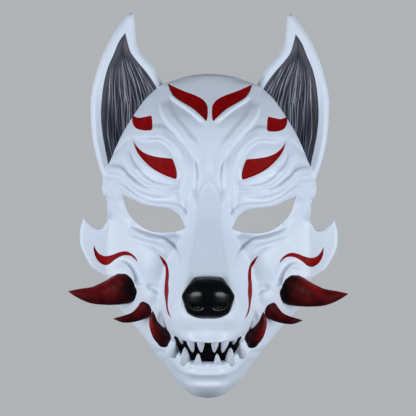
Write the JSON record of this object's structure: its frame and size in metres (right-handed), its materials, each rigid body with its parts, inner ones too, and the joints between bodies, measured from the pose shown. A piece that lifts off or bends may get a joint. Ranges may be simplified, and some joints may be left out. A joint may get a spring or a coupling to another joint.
{
  "type": "fox mask",
  "caption": "White full-face fox mask with upright ears, a long snout with black nose, open toothed jaw, cheek fins, curved horns and red markings",
  "frame": {"origin": "middle of the footprint, on the surface the mask lies on", "axes": "+Z is where the face looks, +Y from the chin to the ear tips, +X to the right of somebody who looks at the face"},
  "size_m": [0.2242, 0.3182, 0.1419],
  "materials": {
    "white_gloss": "white lacquer, glossy",
    "nose_black": "black lacquer, glossy",
    "horn_red": "dark red paint with black dry-brushed bases, satin gloss",
    "lining_black": "matt black"
  },
  "bodies": {
    "root": {"face_shell": "white_gloss", "ear_left": "white_gloss", "ear_right": "white_gloss", "nose": "nose_black", "horn_cheek_left": "horn_red", "horn_cheek_right": "horn_red", "horn_jaw_left": "horn_red", "horn_jaw_right": "horn_red", "tusk_left": "horn_red", "tusk_right": "horn_red", "mouth_lining": "lining_black"}
  },
  "joints": []
}
